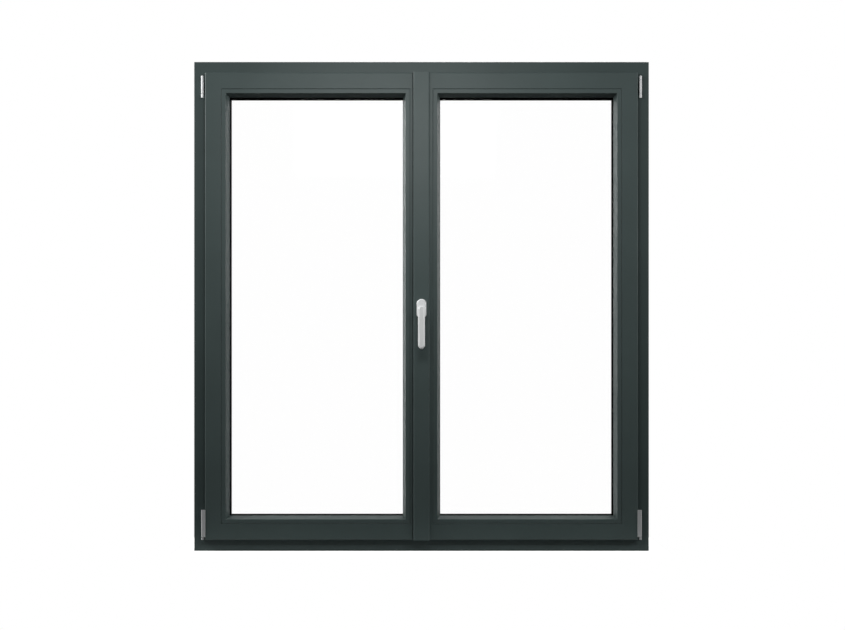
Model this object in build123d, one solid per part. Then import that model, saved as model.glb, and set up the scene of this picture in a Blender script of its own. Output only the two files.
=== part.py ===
from build123d import *
import os

# Two-sash window of dark plastic profiles, closed, with a central handle.
# Sizes are in mm. X runs to the right, Y from the room to the outside, Z up.
# The origin is the middle of the frame's lower face, which rests on the wall.

# Whole window
WIDTH = 1395.0
HEIGHT = 1500.0

# Depths through the window
FRAME_DEPTH = 80.0
SASH_PROUD = 18.0
STOP_DEPTH = 14.5
GASKET_GAP = 3.5
OUTER_LIP_DEPTH = 18.0
GLAZING_GAP = 3.0
PANE_THICKNESS = 4.0
CAVITY = 16.0

# Widths across the profiles
FRAME_FACE = 36.0
FRAME_BODY = 43.0
FRAME_STOP = 20.0
FITTINGS_GAP = 12.0
SASH_BODY = 30.5
BEAD_WIDTH = 22.0
EDGE_SEAL = 2.0
MEETING_GAP = 8.4

# Walls, webs and chambers of the extrusions
WALL = 2.8
WEB = 1.4
FRAME_CHAMBERS = 5
SASH_CHAMBERS = 5
SMALLEST_CHAMBER = 10.0

# Edges of the extrusions
SASH_EDGE_RADIUS = 3.0
FRAME_EDGE_RADIUS = 2.0
SMALL_RADIUS = 1.0
STOP_NOSE = 4.0
STOP_SLOPE = 6.0

# Channels in the extrusions
WALL_CHANNEL_WIDTH = 8.0
WALL_CHANNEL_DEPTH = 4.0
WALL_CHANNEL_OFFSET = 20.0
FITTINGS_CHANNEL_WIDTH = 16.0
FITTINGS_CHANNEL_DEPTH = 9.0
FITTINGS_CHANNEL_SETBACK = 28.0
GASKET_CHANNEL_WIDTH = 3.0
GASKET_CHANNEL_DEPTH = 2.8

# Glazing bead
BEAD_SLOPE = 8.5
BEAD_NOSE = 2.5
BEAD_WALL = 1.6
BEAD_JOINT_GAP = 0.8
BEAD_JOINT_DEPTH = 9.0
BEAD_FOOT_REACH = 2.8
BEAD_FOOT_THICKNESS = 4.0
BEAD_FOOT_SETBACK = 7.0

# Gaskets and glass
GASKET_HEAD = 7.0
GASKET_TAPER = 1.0
GASKET_SETBACK = 4.5
FIT_CLEARANCE = 0.2
GLASS_EDGE_CLEARANCE = 6.0
SPACER_SETBACK = 4.0
SPACER_WIDTH = 7.0

# Cover strips over the meeting of the sashes
STRIP_WIDTH = 50.0
STRIP_PROUD = 10.0
STRIP_EDGE_RADIUS = 4.5
STRIP_WALL = 2.5
STRIP_TONGUE_WIDTH = 5.5
STRIP_TONGUE_DEPTH = 9.0
ASTRAGAL_END_CLEARANCE = 3.0

# Drain slots in the outside of the sill
DRAIN_COUNT = 2
DRAIN_LENGTH = 28.0
DRAIN_HEIGHT = 5.0
DRAIN_LEVEL = 10.0

# Hinges, each beside a sash corner
BARREL_RADIUS = 3.7
BARREL_INSET = 27.0
BARREL_PROUD = 12.0
TOP_HINGE_LENGTH = 67.0
TOP_HINGE_DROP = 45.0
TOP_HINGE_CAP = 11.5
HINGE_NECK_WIDTH = 1.8
HINGE_NECK_DEPTH = 0.7
BRACKET_WIDTH = 5.6
BOTTOM_HINGE_LENGTH = 82.0
BOTTOM_HINGE_RISE = 45.0
BOTTOM_COVER_WIDTH = 13.0
BOTTOM_COVER_DEPTH = 12.0
BOTTOM_COVER_PROUD = 2.5
BOTTOM_COVER_ROUNDING = 4.4
BOTTOM_COVER_OVERLAP = 1.4
PIVOT_INSET = 28.0
PIVOT_RADIUS = 4.0
PIVOT_HEIGHT = 6.5
PIVOT_GAP = 2.5
PIVOT_PIN_RADIUS = 2.0

# Handle
HANDLE_LEVEL = 739.0
ROSE_WIDTH = 29.0
ROSE_ABOVE = 32.5
ROSE_BELOW = 23.0
ROSE_LOWER_RADIUS = 8.0
ROSE_THICKNESS = 10.0
ROSE_EDGE = 3.0
LEVER_WIDTH = 20.5
LEVER_LENGTH = 120.0
LEVER_THICKNESS = 13.0
LEVER_BEVEL_WIDTH = 4.0
LEVER_BEVEL_DEPTH = 3.5
LEVER_TIP_WIDTH = 7.5
LEVER_TIP_TAPER = 8.0
LEVER_BACK_BEVEL = 2.0
TOP_ROUNDING = 0.97
LEVER_SHOULDER_RADIUS = 2.5
LEVER_TIP_RADIUS = 2.0
HANDLE_PROJECTION = 57.0
NECK_RADIUS = 8.0
SPINDLE_SIDE = 7.0
SPINDLE_HOLE_RADIUS = 5.6
SPINDLE_IN_LEVER = 18.0
SPINDLE_SHORT_OF_SASH = 0.5
TURNING_CLEARANCE = 0.3

# Where the faces lie along Y
FRAME_IN = -FRAME_DEPTH / 2
FRAME_OUT = FRAME_DEPTH / 2
SASH_IN = FRAME_IN - SASH_PROUD
STOP_IN = FRAME_OUT - STOP_DEPTH
SASH_OUT = STOP_IN - GASKET_GAP
OVERLAP_OUT = FRAME_IN - GASKET_GAP
LIP_IN = SASH_OUT - OUTER_LIP_DEPTH
OUTER_PANE_OUT = LIP_IN - GLAZING_GAP
OUTER_PANE_IN = OUTER_PANE_OUT - PANE_THICKNESS
INNER_PANE_OUT = OUTER_PANE_IN - CAVITY
INNER_PANE_IN = INNER_PANE_OUT - PANE_THICKNESS
BEAD_BACK = INNER_PANE_IN - GLAZING_GAP
STRIP_FRONT = SASH_IN - STRIP_PROUD
ROSE_FRONT = STRIP_FRONT - ROSE_THICKNESS

# Places across a frame side and a sash side, from its outer edge
STOP_EDGE = FRAME_BODY + FRAME_STOP
OVERLAP = FRAME_BODY + FITTINGS_GAP - FRAME_FACE
BODY_EDGE = OVERLAP + SASH_BODY
BEAD_EDGE = BODY_EDGE + BEAD_WIDTH
LIP_EDGE = BEAD_EDGE - EDGE_SEAL
GLASS_EDGE = BODY_EDGE + GLASS_EDGE_CLEARANCE
BEAD_FOOT_CENTRE = BEAD_BACK - BEAD_FOOT_SETBACK

# Rings, as their left, right, lower and upper outer edges
FRAME_RING = (-WIDTH / 2, WIDTH / 2, 0, HEIGHT)
SASH_RING = (
    -WIDTH / 2 + FRAME_FACE,
    OVERLAP - MEETING_GAP / 2,
    FRAME_FACE,
    HEIGHT - FRAME_FACE,
)
SIDES = ("left", "right", "bottom", "top")


def outline(*corners):
    """Closed face through corners given as (x, y) or (x, y, radius)."""
    points = [corner[:2] for corner in corners]
    radii = [corner[2] if len(corner) == 3 else 0 for corner in corners]
    return make_face(FilletPolyline(*points, radius=radii, close=True))


def block(x0, x1, y0, y1):
    """Rectangle between two x and two y values."""
    return Pos((x0 + x1) / 2, (y0 + y1) / 2) * Rectangle(abs(x1 - x0), abs(y1 - y0))


def cuboid(x0, x1, y0, y1, z0, z1):
    """Box between two values on each axis."""
    centre = Pos((x0 + x1) / 2, (y0 + y1) / 2, (z0 + z1) / 2)
    return centre * Box(abs(x1 - x0), abs(y1 - y0), abs(z1 - z0))


def upright(section, z0, z1):
    """Section drawn in X and Y, run from one level to another."""
    return Pos(0, 0, z0) * extrude(section, amount=z1 - z0)


def hollow(shape, wall, webs=(), channels=()):
    """Extruded section: channels cut in, and chambers left between the walls and webs."""
    chambers = offset(shape, amount=-wall, kind=Kind.INTERSECTION)
    for web in webs:
        chambers -= web
    for channel in channels:
        chambers -= offset(channel, amount=wall, kind=Kind.INTERSECTION)
        shape -= channel
    for chamber in chambers.faces():
        if chamber.area > SMALLEST_CHAMBER:
            shape -= chamber
    return shape


def webs_across(width, first, last, chambers):
    """Webs that part a profile's depth into equal chambers."""
    step = (last - first) / chambers
    levels = [first + step * k for k in range(1, chambers)]
    return [block(0, width, level - WEB / 2, level + WEB / 2) for level in levels]


def gasket_channel(across, seat, way):
    """Channel for a gasket's foot, sunk in a face; the gasket stands out the way given."""
    half = GASKET_CHANNEL_WIDTH / 2
    return block(across - half, across + half, seat, seat - way * GASKET_CHANNEL_DEPTH)


def gasket_head(across, seat, way, gap):
    """Tapered lip that fills the gap between two faces."""
    base = GASKET_HEAD / 2
    tip = base - GASKET_TAPER
    return outline(
        (across - base, seat),
        (across + base, seat),
        (across + tip, seat + way * gap),
        (across - tip, seat + way * gap),
    )


def gasket(across, seat, way, gap):
    """Gasket with its foot in a channel."""
    half = GASKET_CHANNEL_WIDTH / 2 - FIT_CLEARANCE
    foot_end = seat - way * (GASKET_CHANNEL_DEPTH - FIT_CLEARANCE)
    return gasket_head(across, seat, way, gap) + block(across - half, across + half, seat, foot_end)


def frame_section():
    """Outer frame: body on the wall side, stop on the outside, slots and gasket channel."""
    shape = outline(
        (0, FRAME_IN, SMALL_RADIUS),
        (FRAME_BODY, FRAME_IN, FRAME_EDGE_RADIUS),
        (FRAME_BODY, STOP_IN),
        (STOP_EDGE, STOP_IN, SMALL_RADIUS),
        (STOP_EDGE, STOP_IN + STOP_NOSE),
        (STOP_EDGE - STOP_SLOPE, FRAME_OUT, FRAME_EDGE_RADIUS),
        (0, FRAME_OUT, SMALL_RADIUS),
    )
    half = WALL_CHANNEL_WIDTH / 2
    channels = [
        block(0, WALL_CHANNEL_DEPTH, level - half, level + half)
        for level in (-WALL_CHANNEL_OFFSET, WALL_CHANNEL_OFFSET)
    ]
    channels.append(gasket_channel(STOP_EDGE - GASKET_SETBACK, STOP_IN, -1))
    return hollow(shape, WALL, webs_across(STOP_EDGE, FRAME_IN, FRAME_OUT, FRAME_CHAMBERS), channels)


def sash_section(has_overlap):
    """Sash: body, outside glazing lip and, but for the meeting stile, an overlap on the frame."""
    glass_side = [
        (BODY_EDGE, SASH_IN, SMALL_RADIUS),
        (BODY_EDGE, LIP_IN),
        (LIP_EDGE, LIP_IN),
        (LIP_EDGE, SASH_OUT, FRAME_EDGE_RADIUS),
        (OVERLAP, SASH_OUT, SMALL_RADIUS),
    ]
    fittings = SASH_OUT - FITTINGS_CHANNEL_SETBACK
    half = FITTINGS_CHANNEL_WIDTH / 2
    foot = BEAD_FOOT_THICKNESS / 2 + FIT_CLEARANCE
    channels = [
        block(OVERLAP, OVERLAP + FITTINGS_CHANNEL_DEPTH, fittings - half, fittings + half),
        block(
            BODY_EDGE - BEAD_FOOT_REACH - FIT_CLEARANCE,
            BODY_EDGE,
            BEAD_FOOT_CENTRE - foot,
            BEAD_FOOT_CENTRE + foot,
        ),
        gasket_channel(LIP_EDGE - GASKET_SETBACK, LIP_IN, -1),
    ]
    if has_overlap:
        edge_side = [
            (OVERLAP, OVERLAP_OUT),
            (0, OVERLAP_OUT, SMALL_RADIUS),
            (0, SASH_IN, SASH_EDGE_RADIUS),
        ]
        channels.append(gasket_channel(GASKET_SETBACK, OVERLAP_OUT, 1))
    else:
        edge_side = [(OVERLAP, SASH_IN, SMALL_RADIUS)]
    shape = outline(*edge_side, *glass_side)
    return hollow(shape, WALL, webs_across(LIP_EDGE, SASH_IN, SASH_OUT, SASH_CHAMBERS), channels)


def bead_section():
    """Sloped glazing bead that stands on the sash and hooks into it with a foot."""
    joint = BODY_EDGE + BEAD_JOINT_GAP
    seat_start = SASH_IN + BEAD_JOINT_DEPTH
    shape = outline(
        (joint, SASH_IN, BEAD_JOINT_GAP),
        (BEAD_EDGE - BEAD_SLOPE, SASH_IN, SMALL_RADIUS),
        (BEAD_EDGE, BEAD_BACK - BEAD_NOSE, BEAD_JOINT_GAP),
        (BEAD_EDGE, BEAD_BACK),
        (BODY_EDGE, BEAD_BACK),
        (BODY_EDGE, seat_start),
        (joint, seat_start),
    )
    foot = block(
        BODY_EDGE - BEAD_FOOT_REACH,
        BODY_EDGE,
        BEAD_FOOT_CENTRE - BEAD_FOOT_THICKNESS / 2,
        BEAD_FOOT_CENTRE + BEAD_FOOT_THICKNESS / 2,
    )
    return hollow(shape, BEAD_WALL) + foot


def edge_seal_section():
    """Outside glazing gasket: foot in the lip, head on the glass, band over the lip's edge."""
    foot = LIP_EDGE - GASKET_SETBACK
    half = GASKET_CHANNEL_WIDTH / 2 - FIT_CLEARANCE
    head = foot - GASKET_HEAD / 2
    band_end = SASH_OUT - FRAME_EDGE_RADIUS
    shape = outline(
        (head, LIP_IN),
        (head + GASKET_TAPER, OUTER_PANE_OUT),
        (BEAD_EDGE, OUTER_PANE_OUT),
        (BEAD_EDGE, band_end, SMALL_RADIUS),
        (LIP_EDGE, band_end),
        (LIP_EDGE, LIP_IN),
    )
    foot_end = LIP_IN + GASKET_CHANNEL_DEPTH - FIT_CLEARANCE
    return shape + block(foot - half, foot + half, LIP_IN, foot_end)


def spacer_section():
    """Spacer bar that holds the two panes apart."""
    start = GLASS_EDGE + SPACER_SETBACK
    return block(start, start + SPACER_WIDTH, INNER_PANE_OUT, OUTER_PANE_IN)


def side_plane(ring, side):
    """Plane of a side's section: its x runs to the ring's middle, its y to the outside."""
    left, right, lower, upper = ring
    places = {
        "left": ((left, 0, lower), (1, 0, 0), (0, 0, 1)),
        "right": ((right, 0, upper), (-1, 0, 0), (0, 0, -1)),
        "bottom": ((right, 0, lower), (0, 0, 1), (-1, 0, 0)),
        "top": ((left, 0, upper), (0, 0, -1), (1, 0, 0)),
    }
    origin, inward, along = places[side]
    return Plane(origin, x_dir=inward, z_dir=along)


def mitred(ring, side, section):
    """One side of a ring: the section run along it and mitred at both corners."""
    left, right, lower, upper = ring
    length = upper - lower if side in ("left", "right") else right - left
    reach = section.bounding_box().max.X
    plan = Polyline((0, 0), (reach, reach), (reach, length - reach), (0, length), close=True)
    wedge = extrude(make_face(Plane.XZ * plan), amount=2 * FRAME_DEPTH, both=True)
    return side_plane(ring, side) * (extrude(section, amount=length) & wedge)


def joined_ring(ring, section, sides=SIDES):
    """Mitred sides of a ring joined in one piece."""
    pieces = [mitred(ring, side, section) for side in sides]
    return pieces[0].fuse(*pieces[1:]).clean()


def outer_frame():
    """Head, sill and jambs, with drain slots in the sill, and the gasket on the stop."""
    section = frame_section()
    names = {"left": "left_jamb", "right": "right_jamb", "bottom": "sill", "top": "head"}
    pieces = {"frame_" + names[side]: mitred(FRAME_RING, side, section) for side in SIDES}
    pitch = WIDTH / DRAIN_COUNT
    for k in range(DRAIN_COUNT):
        across = (k - (DRAIN_COUNT - 1) / 2) * pitch
        place = Plane((across, FRAME_OUT, DRAIN_LEVEL), x_dir=(1, 0, 0), z_dir=(0, -1, 0))
        slot = extrude(place * SlotOverall(DRAIN_LENGTH, DRAIN_HEIGHT), amount=2 * WALL)
        pieces["frame_sill"] -= slot
    lip = gasket(STOP_EDGE - GASKET_SETBACK, STOP_IN, -1, GASKET_GAP)
    pieces["frame_stop_gasket"] = joined_ring(FRAME_RING, lip)
    return pieces


def left_sash():
    """All pieces of the left sash; the right one is its mirror image."""
    side_names = {"left": "hinge", "right": "meeting", "bottom": "bottom", "top": "top"}
    member_names = {
        "left": "hinge_stile",
        "right": "meeting_stile",
        "bottom": "bottom_rail",
        "top": "top_rail",
    }
    full = sash_section(True)
    meeting = sash_section(False)
    bead = bead_section()
    closed_side = cuboid(
        -WIDTH, -MEETING_GAP / 2, -2 * FRAME_DEPTH, 2 * FRAME_DEPTH, 0, HEIGHT
    )
    pieces = {}
    for side in SIDES:
        section = meeting if side == "right" else full
        member = mitred(SASH_RING, side, section)
        pieces["sash_" + member_names[side]] = member & closed_side
        pieces["bead_" + side_names[side]] = mitred(SASH_RING, side, bead)
    left, right, lower, upper = SASH_RING
    pane_box = (left + GLASS_EDGE, right - GLASS_EDGE)
    pane_levels = (lower + GLASS_EDGE, upper - GLASS_EDGE)
    pieces["inner_pane"] = cuboid(*pane_box, INNER_PANE_IN, INNER_PANE_OUT, *pane_levels)
    pieces["outer_pane"] = cuboid(*pane_box, OUTER_PANE_IN, OUTER_PANE_OUT, *pane_levels)
    pieces["glass_spacer"] = joined_ring(SASH_RING, spacer_section())
    bead_seal = block(BEAD_EDGE - GASKET_HEAD, BEAD_EDGE, BEAD_BACK, INNER_PANE_IN)
    pieces["inner_glazing_gasket"] = joined_ring(SASH_RING, bead_seal)
    pieces["outer_glazing_gasket"] = joined_ring(SASH_RING, edge_seal_section())
    overlap_lip = gasket(GASKET_SETBACK, OVERLAP_OUT, 1, GASKET_GAP)
    overlap = joined_ring(SASH_RING, overlap_lip, ("bottom", "left", "top"))
    pieces["overlap_gasket"] = overlap & closed_side
    return pieces


def strip_section():
    """Cover strip on the right sash: it laps the left one and has a tongue in the gap."""
    half = STRIP_WIDTH / 2
    tongue_right = MEETING_GAP / 2 - FIT_CLEARANCE
    tongue_left = tongue_right - STRIP_TONGUE_WIDTH
    lapped = SASH_IN - GASKET_GAP
    tongue_end = SASH_IN + STRIP_TONGUE_DEPTH
    shape = outline(
        (-half, STRIP_FRONT, STRIP_EDGE_RADIUS),
        (half, STRIP_FRONT, STRIP_EDGE_RADIUS),
        (half, SASH_IN),
        (tongue_right, SASH_IN),
        (tongue_right, tongue_end),
        (tongue_left, tongue_end),
        (tongue_left, lapped),
        (-half, lapped, SMALL_RADIUS),
    )
    chamber = block(
        tongue_left,
        half - STRIP_EDGE_RADIUS,
        STRIP_FRONT + STRIP_WALL,
        SASH_IN - STRIP_WALL,
    )
    return shape - chamber


def handle_place():
    """Plane on the strip's front at the spindle, looking into the room."""
    return Plane((0, STRIP_FRONT, HANDLE_LEVEL), x_dir=(1, 0, 0), z_dir=(0, -1, 0))


def room_cylinder(radius, y0, y1):
    """Round bar along Y on the spindle's axis."""
    place = Plane((0, y1, HANDLE_LEVEL), x_dir=(1, 0, 0), z_dir=(0, -1, 0))
    return extrude(place * Circle(radius), amount=y1 - y0)


def meeting_strips():
    """Room-side cover strip, outside astragal and their gaskets."""
    lower, upper = SASH_RING[2:]
    section = strip_section()
    strip = upright(section, lower, upper)
    spindle_hole = room_cylinder(SPINDLE_HOLE_RADIUS, STRIP_FRONT, SASH_IN + STRIP_TONGUE_DEPTH)
    gasket_across = -STRIP_WIDTH / 2 + GASKET_HEAD
    lap = gasket_head(gasket_across, SASH_IN, -1, GASKET_GAP)
    turned = Pos(0, SASH_IN + SASH_OUT) * Rot(0, 0, 180)
    short_lower = STOP_EDGE + ASTRAGAL_END_CLEARANCE
    short_upper = HEIGHT - short_lower
    outer_lap = upright(turned * lap, short_lower, short_upper)
    return {
        "meeting_cover_strip": strip - spindle_hole,
        "outer_astragal": upright(turned * section, short_lower, short_upper),
        "meeting_gaskets": Compound(children=[upright(lap, lower, upper), outer_lap]),
    }


def barrel_profile():
    """Half outline of the top hinge's barrel, with a neck under each cap."""
    inner = BARREL_RADIUS - HINGE_NECK_DEPTH
    length = TOP_HINGE_LENGTH
    low = TOP_HINGE_CAP
    high = length - TOP_HINGE_CAP
    return outline(
        (0, 0),
        (BARREL_RADIUS, 0),
        (BARREL_RADIUS, low),
        (inner, low + HINGE_NECK_WIDTH / 2),
        (BARREL_RADIUS, low + HINGE_NECK_WIDTH),
        (BARREL_RADIUS, high - HINGE_NECK_WIDTH),
        (inner, high - HINGE_NECK_WIDTH / 2),
        (BARREL_RADIUS, high),
        (BARREL_RADIUS, length),
        (0, length),
    )


def left_hinges():
    """Top bearing, bottom cover and bottom pivot; the right ones are mirror images."""
    across = -WIDTH / 2 + BARREL_INSET
    axis_y = FRAME_IN - BARREL_PROUD
    top_start = HEIGHT - TOP_HINGE_DROP - TOP_HINGE_LENGTH
    barrel = revolve(Plane.XZ * barrel_profile(), axis=Axis.Z)
    bracket = cuboid(
        across - BRACKET_WIDTH / 2,
        across + BRACKET_WIDTH / 2,
        axis_y,
        FRAME_IN,
        top_start + TOP_HINGE_CAP + HINGE_NECK_WIDTH,
        top_start + TOP_HINGE_LENGTH - TOP_HINGE_CAP - HINGE_NECK_WIDTH,
    )
    top_hinge = Pos(across, axis_y, top_start) * barrel + bracket

    sash_side = SASH_RING[0]
    cover_front = SASH_IN - BOTTOM_COVER_PROUD
    cover_back = cover_front + BOTTOM_COVER_DEPTH
    cover_right = sash_side + BOTTOM_COVER_OVERLAP
    cover_left = cover_right - BOTTOM_COVER_WIDTH
    cover = outline(
        (cover_left, cover_front, BOTTOM_COVER_ROUNDING),
        (cover_right, cover_front, SMALL_RADIUS),
        (cover_right, SASH_IN),
        (sash_side, SASH_IN),
        (sash_side, cover_back),
        (cover_left, cover_back, BOTTOM_COVER_ROUNDING),
    )
    bottom_hinge = upright(cover, BOTTOM_HINGE_RISE, BOTTOM_HINGE_RISE + BOTTOM_HINGE_LENGTH)

    pivot_across = -WIDTH / 2 + PIVOT_INSET
    pivot_top = BOTTOM_HINGE_RISE - PIVOT_GAP
    pivot_low = pivot_top - PIVOT_HEIGHT
    knob = Pos(pivot_across, axis_y) * Circle(PIVOT_RADIUS)
    half = BRACKET_WIDTH / 2
    foot = block(pivot_across - half, pivot_across + half, axis_y, FRAME_IN)
    pin = Pos(pivot_across, axis_y) * Circle(PIVOT_PIN_RADIUS)
    pivot = upright(knob + foot, pivot_low, pivot_top) + upright(pin, pivot_top, BOTTOM_HINGE_RISE)
    return {"top_hinge": top_hinge, "bottom_hinge": bottom_hinge, "bottom_pivot": pivot}


def lever_plan(y, inset):
    """Outline of the lever at one depth, drawn in from its widest by the inset."""
    half = LEVER_WIDTH / 2 - inset
    slimmer = half / (LEVER_WIDTH / 2)
    tip = LEVER_TIP_WIDTH / 2 * slimmer
    end = -LEVER_LENGTH + inset
    shoulder = end + LEVER_TIP_TAPER
    plan = outline(
        (-half, half, half * TOP_ROUNDING),
        (half, half, half * TOP_ROUNDING),
        (half, shoulder, LEVER_SHOULDER_RADIUS * slimmer),
        (tip, end, LEVER_TIP_RADIUS * slimmer),
        (-tip, end, LEVER_TIP_RADIUS * slimmer),
        (-half, shoulder, LEVER_SHOULDER_RADIUS * slimmer),
    )
    return Plane((0, y, HANDLE_LEVEL), x_dir=(1, 0, 0), z_dir=(0, -1, 0)) * plan


def handle():
    """Rose on the cover strip, lever with its neck, and the square spindle."""
    half = ROSE_WIDTH / 2
    rose_plan = outline(
        (-half, ROSE_ABOVE, half * TOP_ROUNDING),
        (half, ROSE_ABOVE, half * TOP_ROUNDING),
        (half, -ROSE_BELOW, ROSE_LOWER_RADIUS),
        (-half, -ROSE_BELOW, ROSE_LOWER_RADIUS),
    )
    rose = extrude(handle_place() * rose_plan, amount=ROSE_THICKNESS)
    front_edges = rose.faces().sort_by(Axis.Y)[0].edges()
    rose = chamfer(front_edges, ROSE_EDGE)
    rose -= room_cylinder(SPINDLE_HOLE_RADIUS, ROSE_FRONT, STRIP_FRONT)

    lever_front = STRIP_FRONT - HANDLE_PROJECTION
    lever_back = lever_front + LEVER_THICKNESS
    layers = [
        (lever_back, LEVER_BACK_BEVEL),
        (lever_back - LEVER_BACK_BEVEL, 0),
        (lever_front + LEVER_BEVEL_DEPTH, 0),
        (lever_front, LEVER_BEVEL_WIDTH),
    ]
    grip = loft([lever_plan(y, inset) for y, inset in layers], ruled=True)
    neck_end = ROSE_FRONT - TURNING_CLEARANCE
    neck = room_cylinder(NECK_RADIUS, lever_back - LEVER_THICKNESS / 2, neck_end)
    socket_end = neck_end - SPINDLE_IN_LEVER
    side = SPINDLE_SIDE / 2
    socket = cuboid(-side, side, socket_end, neck_end, HANDLE_LEVEL - side, HANDLE_LEVEL + side)
    lever = grip + neck - socket

    inner = side - FIT_CLEARANCE / 2
    spindle_end = SASH_IN - SPINDLE_SHORT_OF_SASH
    spindle = cuboid(
        -inner, inner, socket_end, spindle_end, HANDLE_LEVEL - inner, HANDLE_LEVEL + inner
    )
    return {"handle_rose": rose, "handle_lever": lever, "handle_spindle": spindle}


def build():
    """All nodes of the window by name."""
    nodes = dict(outer_frame())
    for name, piece in {**left_sash(), **left_hinges()}.items():
        nodes["left_" + name] = piece
        nodes["right_" + name] = mirror(piece, about=Plane.YZ)
    nodes.update(meeting_strips())
    nodes.update(handle())
    return nodes


os.makedirs("parts", exist_ok=True)
for node_name, node in build().items():
    export_step(node, f"parts/{node_name}.step")
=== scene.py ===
import bpy
import math
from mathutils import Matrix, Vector


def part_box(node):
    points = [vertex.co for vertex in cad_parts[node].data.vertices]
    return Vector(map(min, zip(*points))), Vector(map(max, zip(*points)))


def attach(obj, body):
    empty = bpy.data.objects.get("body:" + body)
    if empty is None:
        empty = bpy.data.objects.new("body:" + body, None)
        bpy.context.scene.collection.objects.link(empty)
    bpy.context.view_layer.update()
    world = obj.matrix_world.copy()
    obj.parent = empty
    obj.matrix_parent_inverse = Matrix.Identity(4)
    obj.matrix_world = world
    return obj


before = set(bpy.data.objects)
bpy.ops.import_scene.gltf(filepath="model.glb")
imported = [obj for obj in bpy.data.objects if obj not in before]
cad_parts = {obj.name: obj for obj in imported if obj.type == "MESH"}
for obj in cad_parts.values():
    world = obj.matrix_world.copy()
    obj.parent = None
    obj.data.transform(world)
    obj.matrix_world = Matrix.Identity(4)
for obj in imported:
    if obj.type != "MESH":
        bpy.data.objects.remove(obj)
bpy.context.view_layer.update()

# Camera, face on: distance from the sash and height in metres, lens and sensor in millimetres
CAMERA_DISTANCE = 4.15
CAMERA_LEVEL = 0.601
LENS = 57.88
SENSOR = 36.0

# Turn about X from looking straight down to looking level
LEVEL_VIEW = math.radians(90)

# Width of the photograph and place of the camera's axis in it, in pixels
IMAGE_WIDTH = 845
AXIS_LEFT_OF_CENTRE = 1.0
AXIS_BELOW_CENTRE = 40.0

# Lamps: place, aim and size in metres, power in watts
LAMPS = {
    "near_key": {"place": (-0.1, -1.2, 1.5), "aim": (0, 0, 1.0), "size": (0.8, 0.4), "power": 8.1},
    "left_key": {"place": (-2.3, -1.9, 2.2), "aim": (0, 0, 0.8), "size": (1.0, 0.5), "power": 12.0},
    "right_key": {"place": (2.3, -1.9, 2.2), "aim": (0, 0, 0.8), "size": (1.0, 0.5), "power": 22.0},
    "side_right": {"place": (2.7, -0.6, 1.1), "aim": (0, 0, 0.8), "size": (0.8, 0.3), "power": 12.0},
    "side_left": {"place": (-2.7, -0.38, 2.0), "aim": (0, 0, 1.1), "size": (0.8, 0.3), "power": 50.0},
    "back": {"place": (0.4, 1.5, 3.4), "aim": (0, 0, 0.9), "size": (1.6, 0.6), "power": 85.0},
}

# Spans of a direction's Z, of its Z again, its Y and its X over which the world's light changes
RISE_SPAN = (-0.2, 0.2)
FADE_SPAN = (0.2, 0.56)
FRONT_SPAN = (-0.45, 0.0)
SIDE_SPAN = (-0.6, 0.6)

# Levels of the world's light at the ends of those spans, and the share that matt surfaces get
BELOW_LEVEL = 0.03
ABOVE_LEVEL = 0.28
FRONT_LEVEL = 0.08
LEFT_LEVEL = 2.9
RIGHT_LEVEL = 1.6
FULL_LEVEL = 1.0
DIFFUSE_SHARE = 0.29

# Ray depth below which a ray hasn't bounced yet
NO_BOUNCE = 0.5

# Floor: half its length and its edges in metres, and the glow that the camera sees on it
FLOOR_HALF_LENGTH = 0.75
FLOOR_FRONT = -0.15
FLOOR_BACK = 0.9
FLOOR_GLOW = 0.8

# Colours as they look in the photograph, as sRGB values from 0 to 255
SASH_COLOUR = (70, 82, 81)
# The frame's colour is the sash's foil made darker: painted shade for the frame, which lies behind
# the proud sash
FRAME_COLOUR_WITH_PAINTED_SHADE = (62, 74, 73)
GASKET_COLOUR = (5, 5, 5)
SPACER_COLOUR = (20, 21, 21)
SILVER_COLOUR = (234, 236, 236)
HINGE_COLOUR = (224, 225, 226)
COVER_COLOUR = (205, 207, 208)
STEEL_COLOUR = (190, 190, 190)
FLOOR_COLOUR = (215, 215, 215)

# Linear colour of the world's light, the floor's glow and the glass
WHITE = (1, 1, 1, 1)

# Stretches of a noise's value over which a colour and a roughness vary
COLOUR_NOISE = (0.35, 0.65)
ROUGHNESS_NOISE = (0.3, 0.7)

# Stretch of the foil's grain along a level and an upright profile
LEVEL_GRAIN = (0.08, 1, 1)
UPRIGHT_GRAIN = (1, 1, 0.08)

# Black rubber lip beside the cover strip, in metres: partly a seal lip and partly painted shade for
# the shadow in the gap beside the strip
LIP_WIDTH = 0.0023
LIP_HEIGHT = 0.0012
LIP_CORNER = 0.0006
LIP_COVERED = 0.0005

# Black rubber lip of the glazing gasket over the bead's nose and the glass, in metres: partly the
# seal and partly painted shade for the dark band at the glass edge
SEAL_HEAD = 0.007
SEAL_LIP = 0.0008
SEAL_SUNK = 0.0003
NOSE_COVERED = 0.0022


def linear(colour):
    """sRGB values from 0 to 255 as the opaque linear colour that a shader takes."""
    parts = []
    for value in colour:
        c = value / 255
        parts.append(c / 12.92 if c <= 0.04045 else ((c + 0.055) / 1.055) ** 2.4)
    return (*parts, 1.0)


def calculated(nodes, links, operation, first, second):
    """Result of an operation on two values, each a number or a socket."""
    node = nodes.new("ShaderNodeMath")
    node.operation = operation
    for k, value in enumerate((first, second)):
        if isinstance(value, (int, float)):
            node.inputs[k].default_value = value
        else:
            links.new(value, node.inputs[k])
    return node.outputs[0]


def ranged(nodes, links, value, span, first, last):
    """Value that runs from first to last while another runs over a span."""
    node = nodes.new("ShaderNodeMapRange")
    sockets = ("From Min", "From Max", "To Min", "To Max")
    for name, number in zip(sockets, (*span, first, last)):
        node.inputs[name].default_value = number
    links.new(value, node.inputs["Value"])
    return node.outputs["Result"]


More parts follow.
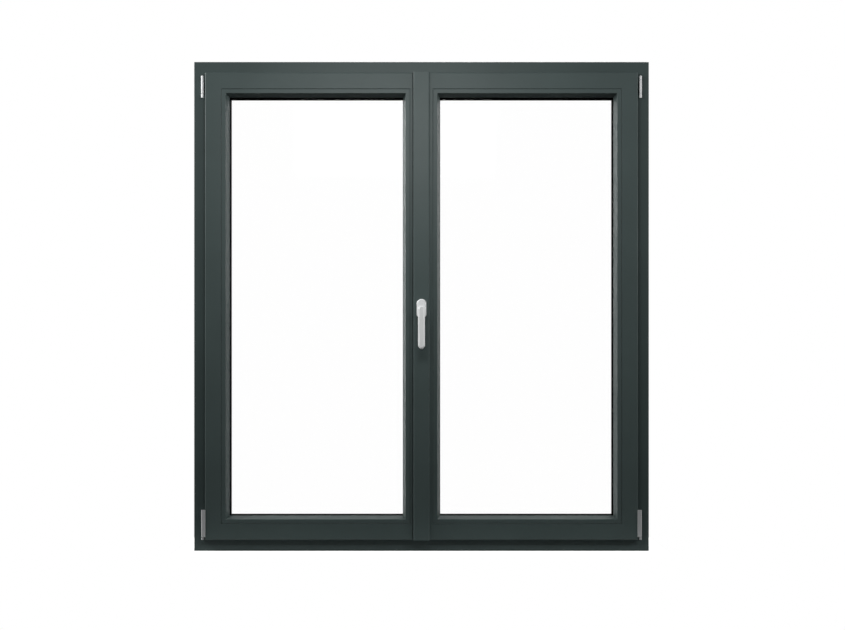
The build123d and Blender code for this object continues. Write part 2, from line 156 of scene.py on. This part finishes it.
def new_material(name):
    """Material with a shader wired to its output, and object coordinates."""
    material = bpy.data.materials.new(name)
    material.use_nodes = True
    nodes = material.node_tree.nodes
    links = material.node_tree.links
    nodes.clear()
    output = nodes.new("ShaderNodeOutputMaterial")
    shader = nodes.new("ShaderNodeBsdfPrincipled")
    place = nodes.new("ShaderNodeTexCoord")
    links.new(shader.outputs["BSDF"], output.inputs["Surface"])
    return material, nodes, links, shader, place


def noise(nodes, links, place, scale, detail=4.0, stretch=(1, 1, 1)):
    """Noise in object space, which a stretch below 1 draws out along that axis."""
    mapping = nodes.new("ShaderNodeMapping")
    mapping.inputs["Scale"].default_value = stretch
    texture = nodes.new("ShaderNodeTexNoise")
    texture.inputs["Scale"].default_value = scale
    texture.inputs["Detail"].default_value = detail
    links.new(place.outputs["Object"], mapping.inputs["Vector"])
    links.new(mapping.outputs["Vector"], texture.inputs["Vector"])
    return texture.outputs["Fac"]


def varied_colour(nodes, links, shader, factor, colour, spread):
    """Base colour that varies a little about the given one."""
    ramp = nodes.new("ShaderNodeValToRGB")
    shares = (1 - spread, 1 + spread)
    for element, position, share in zip(ramp.color_ramp.elements, COLOUR_NOISE, shares):
        element.position = position
        element.color = linear([min(255, c * share) for c in colour])
    links.new(factor, ramp.inputs["Fac"])
    links.new(ramp.outputs["Color"], shader.inputs["Base Color"])


def varied_roughness(nodes, links, shader, factor, low, high):
    """Roughness that follows a noise between two values."""
    roughness = ranged(nodes, links, factor, ROUGHNESS_NOISE, low, high)
    links.new(roughness, shader.inputs["Roughness"])


def bumped(nodes, links, shader, height, strength, distance):
    """Fine relief on a surface."""
    bump = nodes.new("ShaderNodeBump")
    bump.inputs["Strength"].default_value = strength
    bump.inputs["Distance"].default_value = distance
    links.new(height, bump.inputs["Height"])
    links.new(bump.outputs["Normal"], shader.inputs["Normal"])


def profile_material(name, colour, stretch):
    """Dark satin foil on plastic, with a fine grain along the profile."""
    material, nodes, links, shader, place = new_material(name)
    tone = noise(nodes, links, place, scale=6.0)
    grain = noise(nodes, links, place, scale=900.0, detail=3.0, stretch=stretch)
    varied_colour(nodes, links, shader, tone, colour, spread=0.02)
    varied_roughness(nodes, links, shader, grain, low=0.4, high=0.48)
    bumped(nodes, links, shader, grain, strength=0.12, distance=0.0002)
    shader.inputs["Specular IOR Level"].default_value = 0.25
    return material


def rubber_material():
    """Black matt sealing rubber."""
    material, nodes, links, shader, place = new_material("seal_rubber")
    speckle = noise(nodes, links, place, scale=700.0)
    varied_colour(nodes, links, shader, speckle, GASKET_COLOUR, spread=0.15)
    varied_roughness(nodes, links, shader, speckle, low=0.7, high=0.85)
    bumped(nodes, links, shader, speckle, strength=0.1, distance=0.0002)
    shader.inputs["Specular IOR Level"].default_value = 0.05
    return material


def spacer_material():
    """Dark matt bar between the panes."""
    material, nodes, links, shader, place = new_material("spacer_bar")
    speckle = noise(nodes, links, place, scale=500.0)
    varied_colour(nodes, links, shader, speckle, SPACER_COLOUR, spread=0.1)
    varied_roughness(nodes, links, shader, speckle, low=0.55, high=0.7)
    return material


def metal_material(name, colour, metallic, low, high):
    """Satin silver lacquer or metal, with a roughness between low and high."""
    material, nodes, links, shader, place = new_material(name)
    speckle = noise(nodes, links, place, scale=1200.0)
    varied_colour(nodes, links, shader, speckle, colour, spread=0.015)
    varied_roughness(nodes, links, shader, speckle, low, high)
    bumped(nodes, links, shader, speckle, strength=0.05, distance=0.0001)
    shader.inputs["Metallic"].default_value = metallic
    return material


def glass_material():
    """Clear float glass that shows what is behind it."""
    material, nodes, links, shader, place = new_material("float_glass")
    haze = noise(nodes, links, place, scale=3.0)
    varied_roughness(nodes, links, shader, haze, low=0.0, high=0.01)
    shader.inputs["Base Color"].default_value = WHITE
    shader.inputs["Transmission Weight"].default_value = 1.0
    shader.inputs["IOR"].default_value = 1.1
    return material


def make_finishes():
    """Every finished material of the window, by the kind of piece that takes it."""
    return {
        "sash_across": profile_material("sash_foil_across", SASH_COLOUR, LEVEL_GRAIN),
        "sash_upright": profile_material("sash_foil_upright", SASH_COLOUR, UPRIGHT_GRAIN),
        # The frame's foil is the sash's foil with painted shade in its darker colour
        "frame_painted_shade_across": profile_material("frame_foil_painted_shade_across", FRAME_COLOUR_WITH_PAINTED_SHADE, LEVEL_GRAIN),
        "frame_painted_shade_upright": profile_material("frame_foil_painted_shade_upright", FRAME_COLOUR_WITH_PAINTED_SHADE, UPRIGHT_GRAIN),
        "rubber": rubber_material(),
        "spacer": spacer_material(),
        "handle": metal_material("satin_silver", SILVER_COLOUR, metallic=0.0, low=0.3, high=0.36),
        "top_hinge": metal_material("hinge_silver", HINGE_COLOUR, metallic=0.0, low=0.3, high=0.4),
        "bottom_hinge": metal_material("cover_metal", COVER_COLOUR, metallic=0.5, low=0.3, high=0.4),
        "spindle": metal_material("bright_steel", STEEL_COLOUR, metallic=1.0, low=0.25, high=0.35),
        "glass": glass_material(),
    }


def finish_for(name):
    """Kind of finish that a CAD node takes, from its name."""
    if "gasket" in name:
        return "rubber"
    if "spacer" in name:
        return "spacer"
    if "pane" in name:
        return "glass"
    if name == "handle_spindle":
        return "spindle"
    if name.startswith("handle"):
        return "handle"
    if name.endswith("top_hinge"):
        return "top_hinge"
    if name.endswith(("bottom_hinge", "bottom_pivot")):
        return "bottom_hinge"
    if name in ("frame_head", "frame_sill"):
        return "frame_painted_shade_across"
    if name in ("frame_left_jamb", "frame_right_jamb"):
        return "frame_painted_shade_upright"
    if name.endswith(("_rail", "bead_top", "bead_bottom")):
        return "sash_across"
    return "sash_upright"


def dress(node_name, material):
    """Gives a CAD node its finished material."""
    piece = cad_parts[node_name]
    piece.data.materials.clear()
    piece.data.materials.append(material)


def mesh_object(name, points, faces, material):
    """Mesh of one material, in the scene."""
    mesh = bpy.data.meshes.new(name)
    mesh.from_pydata(points, [], faces)
    mesh.materials.append(material)
    piece = bpy.data.objects.new(name, mesh)
    bpy.context.scene.collection.objects.link(piece)
    return piece


def rubber_piece(name, points, faces, material):
    """Seal piece, partly painted shade, that stays on the closed window."""
    lip = mesh_object(name, points, faces, material)
    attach(lip, "window")


def strip_shade_lip(material):
    """Rubber lip along the left edge of the cover strip, whose dark line is partly a seal and partly
    painted shade for the gap's shadow.
    """
    low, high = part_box("meeting_cover_strip")
    sash_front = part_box("left_sash_meeting_stile")[0].y
    inner = low.x + LIP_COVERED
    # Its width past the strip's edge is painted shade standing in for the shadow beside the strip
    outer = low.x - LIP_WIDTH
    front = sash_front - LIP_HEIGHT
    # A point a third of the corner's size in from both sides rounds it
    bend = LIP_CORNER / 3
    outline = [
        (inner, sash_front),
        (outer, sash_front),
        (outer, front + LIP_CORNER),
        (outer + bend, front + bend),
        (outer + LIP_CORNER, front),
        (inner, front),
    ]
    count = len(outline)
    points = [(x, y, z) for z in (low.z, high.z) for x, y in outline]
    sides = [(k, (k + 1) % count, count + (k + 1) % count, count + k) for k in range(count)]
    ends = [tuple(reversed(range(count))), tuple(range(count, 2 * count))]
    rubber_piece("cover_strip_shade_lip", points, sides + ends, material)


def glazing_shade_lip(side, material):
    """Rubber lip round the glass of one sash, between the beads' noses and the pane, whose black band
    is partly the seal and partly painted shade at the glass edge.
    """
    low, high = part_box(side + "_inner_glazing_gasket")
    # Covering the bead's nose turns it black: painted shade where the edge of the glass lies in shade
    front = low.y - NOSE_COVERED
    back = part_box(side + "_inner_pane")[0].y
    section = [
        (-SEAL_SUNK, front),
        (SEAL_LIP / 2, front),
        (SEAL_LIP, front + SEAL_LIP),
        (SEAL_LIP, back),
        (-SEAL_SUNK, back),
    ]
    points = []
    for reach, depth in section:
        inset = SEAL_HEAD + reach
        left, right = low.x + inset, high.x - inset
        bottom, top = low.z + inset, high.z - inset
        rectangle = ((left, bottom), (right, bottom), (right, top), (left, top))
        points += [(x, depth, z) for x, z in rectangle]
    corners = len(rectangle)
    faces = []
    for near in range(0, len(points), corners):
        far = (near + corners) % len(points)
        for corner in range(corners):
            after = (corner + 1) % corners
            faces.append((near + corner, near + after, far + after, far + corner))
    rubber_piece(side + "_glazing_shade_lip", points, faces, material)


def straight_view(nodes, links, path):
    """1 where the camera sees something directly or straight through glass."""
    no_gloss = calculated(nodes, links, "LESS_THAN", path.outputs["Glossy Depth"], NO_BOUNCE)
    no_diffuse = calculated(nodes, links, "LESS_THAN", path.outputs["Diffuse Depth"], NO_BOUNCE)
    clear = calculated(nodes, links, "MULTIPLY", no_gloss, no_diffuse)
    through = calculated(nodes, links, "MULTIPLY", clear, path.outputs["Is Transmission Ray"])
    return calculated(nodes, links, "MAXIMUM", through, path.outputs["Is Camera Ray"])


def make_floor():
    """Small pale floor that looks white to the camera where no shadow falls on it."""
    material, nodes, links, shader, place = new_material("pale_floor")
    tone = noise(nodes, links, place, scale=4.0)
    varied_colour(nodes, links, shader, tone, FLOOR_COLOUR, spread=0.01)
    shader.inputs["Roughness"].default_value = 0.9
    shader.inputs["Emission Color"].default_value = WHITE
    path = nodes.new("ShaderNodeLightPath")
    seen = straight_view(nodes, links, path)
    glow = calculated(nodes, links, "MULTIPLY", seen, FLOOR_GLOW)
    links.new(glow, shader.inputs["Emission Strength"])
    corners = [
        (-FLOOR_HALF_LENGTH, FLOOR_FRONT, 0),
        (FLOOR_HALF_LENGTH, FLOOR_FRONT, 0),
        (FLOOR_HALF_LENGTH, FLOOR_BACK, 0),
        (-FLOOR_HALF_LENGTH, FLOOR_BACK, 0),
    ]
    floor = mesh_object("floor", corners, [(0, 1, 2, 3)], material)


def make_world():
    """White studio: brightest at the left, dim in front and above, dark below."""
    world = bpy.data.worlds.new("studio")
    bpy.context.scene.world = world
    world.use_nodes = True
    nodes = world.node_tree.nodes
    links = world.node_tree.links
    nodes.clear()
    output = nodes.new("ShaderNodeOutputWorld")
    place = nodes.new("ShaderNodeTexCoord")
    path = nodes.new("ShaderNodeLightPath")
    way = nodes.new("ShaderNodeSeparateXYZ")
    links.new(place.outputs["Generated"], way.inputs["Vector"])
    glossy = path.outputs["Is Glossy Ray"]
    rising = ranged(nodes, links, way.outputs["Z"], RISE_SPAN, BELOW_LEVEL, FULL_LEVEL)
    fading = ranged(nodes, links, way.outputs["Z"], FADE_SPAN, FULL_LEVEL, ABOVE_LEVEL)
    behind = ranged(nodes, links, way.outputs["Y"], FRONT_SPAN, FRONT_LEVEL, FULL_LEVEL)
    aside = ranged(nodes, links, way.outputs["X"], SIDE_SPAN, LEFT_LEVEL, RIGHT_LEVEL)
    share = ranged(nodes, links, glossy, (0.0, 1.0), DIFFUSE_SHARE, FULL_LEVEL)
    level = rising
    for factor in (fading, behind, aside, share):
        level = calculated(nodes, links, "MULTIPLY", level, factor)
    soft = nodes.new("ShaderNodeBackground")
    soft.inputs["Color"].default_value = WHITE
    links.new(level, soft.inputs["Strength"])
    plain = nodes.new("ShaderNodeBackground")
    plain.inputs["Color"].default_value = WHITE
    plain.inputs["Strength"].default_value = FULL_LEVEL
    mix = nodes.new("ShaderNodeMixShader")
    links.new(straight_view(nodes, links, path), mix.inputs["Fac"])
    links.new(soft.outputs["Background"], mix.inputs[1])
    links.new(plain.outputs["Background"], mix.inputs[2])
    links.new(mix.outputs["Shader"], output.inputs["Surface"])


def area_light(name, place, aim, size, power):
    """Soft rectangular lamp that points at a place, unseen by the camera and through glass."""
    data = bpy.data.lights.new(name, "AREA")
    data.shape = "RECTANGLE"
    data.size, data.size_y = size
    data.energy = power
    lamp = bpy.data.objects.new(name, data)
    bpy.context.scene.collection.objects.link(lamp)
    lamp.location = place
    lamp.rotation_euler = (Vector(aim) - Vector(place)).to_track_quat("-Z", "Y").to_euler()
    lamp.visible_camera = False
    lamp.visible_transmission = False


def make_camera():
    """Camera at the photograph's place, with the small rise that its framing has."""
    data = bpy.data.cameras.new("camera")
    camera = bpy.data.objects.new("camera", data)
    bpy.context.scene.collection.objects.link(camera)
    data.sensor_width = SENSOR
    data.lens = LENS
    data.shift_x = AXIS_LEFT_OF_CENTRE / IMAGE_WIDTH
    data.shift_y = AXIS_BELOW_CENTRE / IMAGE_WIDTH
    sash_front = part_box("left_sash_hinge_stile")[0].y
    camera.location = (0, sash_front - CAMERA_DISTANCE, CAMERA_LEVEL)
    camera.rotation_euler = (LEVEL_VIEW, 0, 0)
    bpy.context.scene.camera = camera


finishes = make_finishes()
strip_shade_lip(finishes["rubber"])
for sash_side in ("left", "right"):
    glazing_shade_lip(sash_side, finishes["rubber"])
for node_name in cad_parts:
    dress(node_name, finishes[finish_for(node_name)])
make_world()
make_floor()
make_camera()
for lamp_name, settings in LAMPS.items():
    area_light(lamp_name, **settings)
bpy.context.scene.view_settings.view_transform = "Standard"
